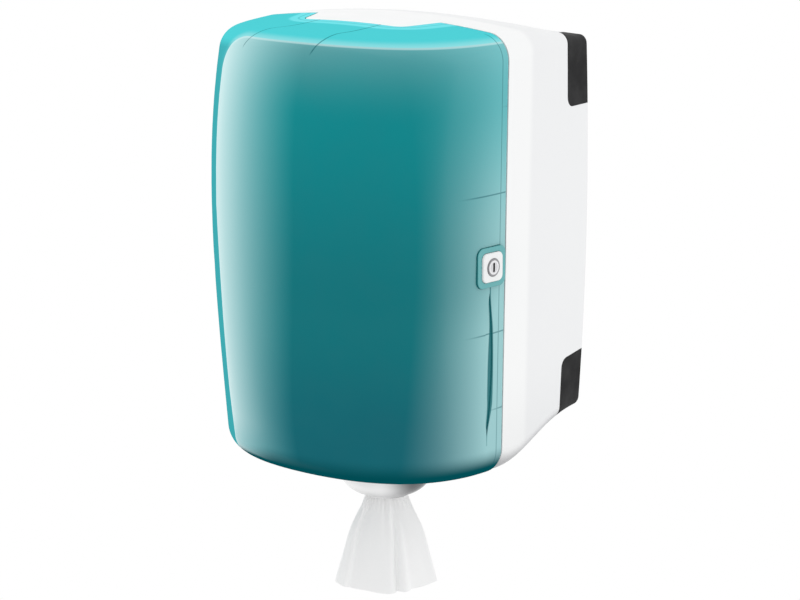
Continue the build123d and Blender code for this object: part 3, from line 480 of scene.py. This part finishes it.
KEYWAY_RADIUS = (0.0062, 0.0066, 1.0, 0.0)
TOOL_MARKS = 9000.0
TOOL_MARK_HEIGHT = 0.00008
CYLINDER_GLOSS_SCALE = 300.0
CYLINDER_GLOSS = (0.26, 0.4)
STEEL_DARK = linear(150, 152, 156)
STEEL_LIGHT = linear(200, 201, 205)
STEEL_GLOSS = (0.25, 0.42)
STREAK_STRETCH = (1.0, 1.0, 14.0)
STREAK_SCALE = 180.0
STREAK_HEIGHT = 0.0002


def teal_bezel():
    material, tree, shader = plastic("bezel_teal", BEZEL_FACE, rough=0.25, grain_scale=900.0,
                                     grain=0.03, spread=0.06)
    # Painted shade on the sides that turn away from the lock's axis
    outward = remap(tree, facing(tree, LOCK_AXIS), *BEZEL_TURN)
    colour = mix(tree, outward, BEZEL_SIDE_SHADE, base_colour(shader))
    link(tree, colour, shader.inputs["Base Color"])
    shader.inputs["Specular IOR Level"].default_value = 0.25
    return material


def white_housing():
    """White shell, with painted light ahead of the bend in its side and painted shade where it
    turns under and low down.
    """
    material, tree, shader = plastic("housing_white", HOUSING_WHITE, rough=0.36,
                                     grain_scale=1400.0, grain=0.05, spread=0.012)
    _, y, z = separate(tree, coords(tree))
    nz = separate(tree, coords(tree, "Normal"))[2]
    colour = mix(tree, remap(tree, y, *HOUSING_BEND), base_colour(shader), HOUSING_FRONT_LIT)
    colour = mix(tree, remap(tree, nz, *HOUSING_UNDER_SHADE_FADE), colour, HOUSING_UNDER_SHADE)
    colour = mix(tree, remap(tree, z, *HOUSING_LOW_SHADE_FADE), colour, HOUSING_LOW_SHADE)
    link(tree, colour, shader.inputs["Base Color"])
    return material


def white_nozzle():
    """White bowl, with painted shade underneath and on its right side."""
    material, tree, shader = plastic("nozzle_white", NOZZLE_WHITE, rough=0.14, grain_scale=900.0,
                                     grain=0.02, spread=0.01)
    under = remap(tree, facing(tree, DOWNWARD), *NOZZLE_UNDER_SHADE_FADE)
    right = remap(tree, facing(tree, RIGHT_REAR), *NOZZLE_RIGHT_SHADE_FADE)
    colour = mix(tree, under, base_colour(shader), NOZZLE_UNDER_SHADE)
    colour = mix(tree, right, colour, NOZZLE_RIGHT_SHADE)
    link(tree, colour, shader.inputs["Base Color"])
    shader.inputs["Specular IOR Level"].default_value = 0.2
    return material


def turned_metal():
    """Concentric tool marks round the lock's axis, and painted shade in the keyway."""
    material, tree, shader = new_material("cylinder_grey")
    place = coords(tree)
    off_centre = vector_node(tree, "SUBTRACT", place, LOCK_CENTRE)
    radius = vector_node(tree, "LENGTH", vector_node(tree, "CROSS_PRODUCT", off_centre, LOCK_AXIS))
    depth = vector_node(tree, "DOT_PRODUCT", off_centre, LOCK_AXIS)
    colour = mix(tree, remap(tree, radius, *RING_EDGE), CYLINDER_FACE, CYLINDER_RING)
    colour = mix(tree, remap(tree, radius, *BORE_EDGE), colour, CYLINDER_BORE)
    keyway = times(tree, remap(tree, depth, *KEYWAY_DEPTH), remap(tree, radius, *KEYWAY_RADIUS))
    colour = mix(tree, keyway, colour, KEYWAY_SHADE)
    link(tree, colour, shader.inputs["Base Color"])
    shader.inputs["Metallic"].default_value = 0.3
    gloss = noise(tree, place, CYLINDER_GLOSS_SCALE)
    gloss = remap(tree, gloss, *GLOSS_RANGE, *CYLINDER_GLOSS)
    link(tree, gloss, shader.inputs["Roughness"])
    rings = math_node(tree, "SINE", times(tree, radius, TOOL_MARKS))
    bump(tree, rings, 0.25, TOOL_MARK_HEIGHT, shader)
    return material


def brushed_steel():
    material, tree, shader = new_material("zinc_steel")
    stretch = node(tree, "ShaderNodeMapping", Scale=STREAK_STRETCH)
    link(tree, coords(tree), stretch.inputs["Vector"])
    streak = noise(tree, stretch.outputs["Vector"], STREAK_SCALE, detail=5.0)
    link(tree, mix(tree, streak, STEEL_DARK, STEEL_LIGHT), shader.inputs["Base Color"])
    shader.inputs["Metallic"].default_value = 1.0
    link(tree, remap(tree, streak, *GLOSS_RANGE, *STEEL_GLOSS), shader.inputs["Roughness"])
    bump(tree, streak, 0.08, STREAK_HEIGHT, shader)
    return material


# Wipe cloth of the tail and wound paper of the roll
CLOTH_SHADES = (linear(249, 249, 249), linear(254, 254, 254))
LAYER_SHADES = (linear(214, 214, 212), linear(240, 240, 239))
FIBRE_SHADES = (linear(220, 220, 219), linear(244, 244, 243))
CLOTH_FIBRE_SCALE = 420.0
ROLL_FIBRE_SCALE = 260.0
PIT_SCALE = 900.0
PIT_FADE = (0.1, 0.5)
PIT_SHARE = 0.6
LAYER_WOBBLE = 0.0012
WOBBLE_SCALE = 14.0
LAYER_RATE = 5200.0
FIBRE_HEIGHT = 0.0003


def wipe_cloth():
    """Soft white nonwoven: crossing fibres, tiny pits and a faint sheen."""
    material, tree, shader = new_material("wipe_white")
    place = coords(tree)
    fibres = noise(tree, place, CLOTH_FIBRE_SCALE, detail=6.0, roughness=0.7)
    pits = node(tree, "ShaderNodeTexVoronoi", Scale=PIT_SCALE)
    link(tree, place, pits.inputs["Vector"])
    dots = remap(tree, pits.outputs["Distance"], *PIT_FADE)
    link(tree, mix(tree, fibres, *CLOTH_SHADES), shader.inputs["Base Color"])
    shader.inputs["Roughness"].default_value = 0.85
    shader.inputs["Sheen Weight"].default_value = 0.25
    shader.inputs["Sheen Roughness"].default_value = 0.6
    shader.inputs["Specular IOR Level"].default_value = 0.2
    height = plus(tree, times(tree, dots, PIT_SHARE), fibres)
    bump(tree, height, 0.25, FIBRE_HEIGHT, shader)
    return material


def wound_paper():
    """Edges of the wound layers on the roll's ends, soft paper on its side."""
    material, tree, shader = new_material("roll_white")
    place = coords(tree)
    x, y, _ = separate(tree, place)
    offset = minus(tree, y, FEED_Y)
    square = plus(tree, times(tree, x, x), times(tree, offset, offset))
    radius = math_node(tree, "SQRT", square)
    wobble = times(tree, noise(tree, place, WOBBLE_SCALE, detail=3.0), LAYER_WOBBLE)
    layers = math_node(tree, "SINE", times(tree, plus(tree, radius, wobble), LAYER_RATE))
    fibres = noise(tree, place, ROLL_FIBRE_SCALE, detail=5.0)
    colour = mix(tree, remap(tree, layers, -1.0, 1.0), *LAYER_SHADES)
    colour = mix(tree, 0.25, colour, mix(tree, fibres, *FIBRE_SHADES))
    link(tree, colour, shader.inputs["Base Color"])
    shader.inputs["Roughness"].default_value = 0.9
    bump(tree, plus(tree, layers, fibres), 0.3, FIBRE_HEIGHT, shader)
    return material


# Materials of the solids
steel = brushed_steel()
shelf_white, _, _ = plastic("shelf_white", linear(214, 216, 218), rough=0.5, grain_scale=900.0,
                            grain=0.08, spread=0.02)
bumper_grey, _, bumper_shader = plastic("bumper_grey", linear(34, 34, 35), rough=0.75,
                                        grain_scale=1800.0, grain=0.25, spread=0.12)
bumper_shader.inputs["Specular IOR Level"].default_value = 0.25
button_white, _, _ = plastic("button_white", linear(236, 238, 238), rough=0.2, grain_scale=900.0,
                             grain=0.03, spread=0.015)
case_black, _, _ = plastic("case_black", linear(44, 44, 47), rough=0.5, grain_scale=1200.0,
                           grain=0.15, spread=0.1)
ring_grey, _, _ = plastic("tear_ring_grey", linear(120, 122, 124), rough=0.45, grain_scale=1200.0,
                          grain=0.1, spread=0.08)
by_node = {
    "front_cover": teal_cover(),
    "lock_bezel": teal_bezel(),
    "rear_housing": white_housing(),
    "roll_shelf": shelf_white,
    "nozzle_collar": shelf_white,
    "lock_button": button_white,
    "lock_case": case_black,
    "key_cylinder": turned_metal(),
    "nozzle": white_nozzle(),
    "tear_ring": ring_grey,
}
for name, piece in nodes.items():
    chosen = by_node.get(name, bumper_grey if name.startswith("bumper") else steel)
    piece.data.materials.clear()
    piece.data.materials.append(chosen)


# Mesh helper
def new_piece(name, verts, faces, material):
    mesh = bpy.data.meshes.new(name)
    mesh.from_pydata(verts, [], faces)
    mesh.update()
    for poly in mesh.polygons:
        poly.use_smooth = True
    mesh.materials.append(material)
    obj = bpy.data.objects.new(name, mesh)
    bpy.context.scene.collection.objects.link(obj)
    return obj


# Tail of the wipe: one sheet gathered in the throat and fanned out in a few broad folds
HEM_LINE = ((0, -11.5), (-14, -11.5), (-36, -10.5), (-50, -7), (-53, -3), (-45, 4), (-38, 2),
            (-28, 6), (-10, 11), (2, 12), (8, 9.5), (11, 4.5), (14, 6), (18, 11), (23, 10),
            (27, 4), (43, -2), (53, -5), (51, -8), (36, -9.5), (16, -9), (-2, -7.5))
THROAT_LINE = ((1, -8.6), (-4, -8), (-11, -7), (-17, -5), (-19.6, -1), (-17.2, 3.4), (-14.4, 0.6),
               (-10.5, 6), (-6, 7.6), (-3.4, 7.2), (-2.4, 6.2), (-1.6, 5.8), (-0.6, 6.2), (1.2, 8),
               (3.2, 7.2), (5.0, 1.6), (12.5, 4.4), (19.6, -1.5), (17.5, -5), (13, -6.8),
               (6, -6.6), (-1.5, -5.2))
SPREAD = ((0, 0), (0.07, 0.02), (0.2, 0.19), (0.45, 0.56), (0.79, 0.84), (1, 1))
SPREAD_STEPS = 200
CURVE_STEPS = 24
TAIL_ACROSS, TAIL_DOWN = 260, 80
TAIL_SEED = 7
MILLIMETRES = 1000
TAIL_TOP = -0.031
TAIL_HEM = -0.147
TAIL_THICKNESS = 0.0004
HEM_HALF = 0.053
HEM_RISE = 0.008
HEM_WAVE = 0.0006
SLOW_WAVE = 0.0005
QUICK_WAVE = 0.00022
PLEAT_COUNT = 27
PLEAT_DRIFT = 1.4
PLEAT_LIMIT = 0.003
PLEAT_TRIES = 18
GATHER_SHARE = 0.55
THROAT_SHARE = 0.12
THROAT_FADE = 0.05
CIRCLE = 2 * math.pi


def smooth_line(points, count):
    """Evenly spaced points on a smooth curve through the given ones."""
    p = np.array(points, float)
    ext = np.vstack([2 * p[0] - p[1], p, 2 * p[-1] - p[-2]])
    fine = []
    for i in range(1, len(ext) - 2):
        a, b, c, d = ext[i - 1:i + 3]
        for t in np.linspace(0, 1, CURVE_STEPS, endpoint=False):
            fine.append(0.5 * (2 * b + (c - a) * t + (2 * a - 5 * b + 4 * c - d) * t * t
                               + (3 * b - a - 3 * c + d) * t ** 3))
    fine.append(ext[-2])
    fine = np.array(fine)
    run = np.concatenate([[0], np.cumsum(np.linalg.norm(np.diff(fine, axis=0), axis=1))])
    even = np.linspace(0, run[-1], count)
    return np.stack([np.interp(even, run, fine[:, k]) for k in range(2)], 1)


def line_length(p):
    return np.linalg.norm(np.diff(p, axis=0), axis=1).sum()


def side_normal(p):
    """Direction across a line at each of its points."""
    tangent = np.gradient(p, axis=0)
    tangent /= np.linalg.norm(tangent, axis=1)[:, None]
    return np.stack([-tangent[:, 1], tangent[:, 0]], 1)


def pleat_depth(base, normal, pleats, wanted):
    """Depth of the pleats that brings a line to the wanted length."""
    low, high = 0.0, PLEAT_LIMIT
    for _ in range(PLEAT_TRIES):
        middle = (low + high) / 2
        if line_length(base + normal * (pleats * middle)[:, None]) < wanted:
            low = middle
        else:
            high = middle
    return low


def make_tail():
    steps = len(HEM_LINE) * CURVE_STEPS
    hem = smooth_line(HEM_LINE, steps) / MILLIMETRES
    throat = smooth_line(THROAT_LINE, steps) / MILLIMETRES
    spread = smooth_line(SPREAD, SPREAD_STEPS)
    phases = np.random.default_rng(TAIL_SEED).uniform(0, CIRCLE, 5)
    u = np.linspace(0, 1, TAIL_ACROSS)
    along = np.linspace(0, 1, steps)
    drift = PLEAT_DRIFT * np.sin(CIRCLE * 2 * u + phases[4])
    pleats = np.sin(CIRCLE * PLEAT_COUNT * u + phases[2] + drift)
    hem_wave = HEM_WAVE * np.sin(CIRCLE * 5 * u + phases[3])
    full = line_length(hem)
    c, s = math.cos(VIEW_TURN), math.sin(VIEW_TURN)
    verts = []
    for row in range(TAIL_DOWN):
        v = row / (TAIL_DOWN - 1)
        share = np.interp(v, spread[:, 0], spread[:, 1])
        base = throat * (1 - share) + hem * share
        base = np.stack([np.interp(u, along, base[:, k]) for k in range(2)], 1)
        normal = side_normal(base)
        wave = SLOW_WAVE * v * np.sin(CIRCLE * (3.3 * u + 0.8 * v) + phases[0])
        wave += QUICK_WAVE * np.sin(CIRCLE * (11 * u - 1.3 * v) + phases[1]) * (0.4 + 0.6 * v)
        wanted = full * (GATHER_SHARE + THROAT_SHARE * math.exp(-v / THROAT_FADE))
        depth = pleat_depth(base, normal, pleats, wanted)
        line = base + normal * (wave + pleats * depth)[:, None]
        aside = np.clip(np.abs(base[:, 0]) / HEM_HALF, 0, 1)
        bottom = TAIL_HEM + HEM_RISE * aside ** 2 + hem_wave
        height = TAIL_TOP + (bottom - TAIL_TOP) * v
        for (a, d), h in zip(line, height):
            verts.append((a * c + d * s, FEED_Y + a * s - d * c, up(h)))
    faces = []
    for row in range(TAIL_DOWN - 1):
        for col in range(TAIL_ACROSS - 1):
            k = row * TAIL_ACROSS + col
            faces.append((k, k + 1, k + TAIL_ACROSS + 1, k + TAIL_ACROSS))
    obj = new_piece("wipe_tail_sheet", verts, faces, wipe_cloth())
    thick = obj.modifiers.new("thickness", "SOLIDIFY")
    thick.thickness = TAIL_THICKNESS
    thick.offset = 0.0
    return obj


tail = make_tail()
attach(tail, "nozzle")
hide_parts("wipe_tail")


# Roll of wipes: wound layers with soft edges and the loose end of the last turn
ROLL_TOP = ROLL_LOW + ROLL_HEIGHT
ROLL_SECTORS = 192
ROLL_SEED = 11
END_STEPS = 26
SIDE_STEPS = 12
EDGE = 0.003
EDGE_CORNER = 0.001
EDGE_INSET = 0.0002
TOP_STEP = 0.0012
TOP_UNEVEN = 0.0006
BASE_LIFT = 0.0004
BASE_STEP = 0.0006
SIDE_SAG = 0.0006
LOOSE_STEP = 0.0012
LOOSE_DEPTH = 0.0015


def roll_profile():
    """Radius and height round the roll's section, from the core's top edge outwards."""
    end_radius = ROLL_RADIUS - EDGE
    profile = []
    for i in range(END_STEPS + 1):
        r = ROLL_CORE + (end_radius - ROLL_CORE) * i / END_STEPS
        profile.append((r, ROLL_TOP - TOP_STEP * (i % 2) - TOP_UNEVEN * random.random()))
    profile.append((ROLL_RADIUS - EDGE_CORNER, ROLL_TOP - EDGE_CORNER))
    profile.append((ROLL_RADIUS - EDGE_INSET, ROLL_TOP - EDGE))
    for i in range(1, SIDE_STEPS):
        sag = SIDE_SAG * math.sin(math.pi * i / SIDE_STEPS)
        height = ROLL_LOW + EDGE + (ROLL_HEIGHT - 2 * EDGE) * (1 - i / SIDE_STEPS)
        profile.append((ROLL_RADIUS - sag, height))
    profile.append((ROLL_RADIUS - EDGE_INSET, ROLL_LOW + EDGE))
    profile.append((ROLL_RADIUS - EDGE_CORNER, ROLL_LOW + EDGE_CORNER))
    for i in range(END_STEPS + 1):
        r = end_radius - (end_radius - ROLL_CORE) * i / END_STEPS
        profile.append((r, ROLL_LOW + BASE_LIFT + BASE_STEP * (i % 2)))
    return profile


def make_roll():
    random.seed(ROLL_SEED)
    profile = roll_profile()
    count = len(profile)
    verts, faces = [], []
    for k in range(ROLL_SECTORS):
        angle = CIRCLE * k / ROLL_SECTORS
        step = LOOSE_STEP * (1 - k / ROLL_SECTORS)
        for r, h in profile:
            reach = r - (step if r > ROLL_RADIUS - LOOSE_DEPTH else 0.0)
            verts.append((reach * math.cos(angle), FEED_Y + reach * math.sin(angle), h))
    for k in range(ROLL_SECTORS):
        nxt = (k + 1) % ROLL_SECTORS
        for i in range(count):
            j = (i + 1) % count
            faces.append((k * count + i, nxt * count + i, nxt * count + j, k * count + j))
    return new_piece("wipe_roll_wound", verts, faces, wound_paper())


roll = make_roll()
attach(roll, "roll")
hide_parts("wipe_roll")


# World, lights and camera
SOFT_LIGHT = 0.9
WHITE = (1.0, 1.0, 1.0)
DARK_END = (0.04, 0.04, 0.04)
DARK_TURN = math.radians(15)
DARK_FADE = (0.05, 0.45)
DARK_DIRECTION = (math.sin(DARK_TURN), -math.cos(DARK_TURN), -0.15)
LAMP_AIM = (0.0, -0.15, -0.02)
LAMPS = (
    ("key_right", (1.99, 0.78, 0.17), (1.78, 2.4), 7),
    ("strip_left", (-1.99, -0.29, -0.1), (1.95, 2.3), 5),
    ("top_front", (-0.41, -1.28, 2.06), (2.2, 1.0), 7),
)
IMAGE_WIDTH = 800
FOCAL_PIXELS = 2422.36
SENSOR_WIDTH = 36
CAMERA_AIM = (0.02464, -0.15, -0.07338)
CAMERA_REACH = 2.3943
CAMERA_HEIGHT = 0.47369
CAMERA_CLIP = 200


def studio_world():
    """White all round, with a dark end mirrored from the front, and an even soft light."""
    world = bpy.data.worlds.new("studio_world")
    world.use_nodes = True
    bpy.context.scene.world = world
    tree = world.node_tree
    tree.nodes.clear()
    output = tree.nodes.new("ShaderNodeOutputWorld")
    soft = node(tree, "ShaderNodeBackground", Color=(*WHITE, 1.0), Strength=SOFT_LIGHT)
    studio = node(tree, "ShaderNodeBackground", Strength=1.0)
    path = tree.nodes.new("ShaderNodeLightPath").outputs
    ahead = vector_node(tree, "DOT_PRODUCT", coords(tree, "Generated"), DARK_DIRECTION)
    mirrored = minus(tree, 1.0, path["Is Camera Ray"])
    dark = times(tree, remap(tree, ahead, *DARK_FADE), mirrored)
    link(tree, mix(tree, dark, WHITE, DARK_END), studio.inputs["Color"])
    seen = most(tree, path["Is Camera Ray"], path["Is Glossy Ray"], path["Is Transmission Ray"])
    blend = tree.nodes.new("ShaderNodeMixShader")
    link(tree, seen, blend.inputs[0])
    link(tree, soft.outputs[0], blend.inputs[1])
    link(tree, studio.outputs[0], blend.inputs[2])
    link(tree, blend.outputs[0], output.inputs["Surface"])


def aim(obj, place, target):
    """Put a lamp or the camera in the scene, looking at the target."""
    obj.location = place
    direction = Vector(target) - Vector(place)
    obj.rotation_euler = direction.to_track_quat("-Z", "Y").to_euler()
    bpy.context.scene.collection.objects.link(obj)


def area_light(name, place, size, power):
    data = bpy.data.lights.new(name, "AREA")
    data.shape = "RECTANGLE"
    data.size, data.size_y = size
    data.energy = power
    aim(bpy.data.objects.new(name, data), place, LAMP_AIM)


def photo_camera():
    data = bpy.data.cameras.new("camera")
    data.sensor_width = SENSOR_WIDTH
    data.lens = FOCAL_PIXELS / IMAGE_WIDTH * SENSOR_WIDTH
    data.clip_end = CAMERA_CLIP
    camera = bpy.data.objects.new("camera", data)
    eye = (CAMERA_AIM[0] + math.sin(VIEW_TURN) * CAMERA_REACH,
           CAMERA_AIM[1] - math.cos(VIEW_TURN) * CAMERA_REACH, CAMERA_HEIGHT)
    aim(camera, eye, CAMERA_AIM)
    bpy.context.scene.camera = camera


studio_world()
for lamp in LAMPS:
    area_light(*lamp)
photo_camera()
bpy.context.scene.view_settings.view_transform = "Standard"
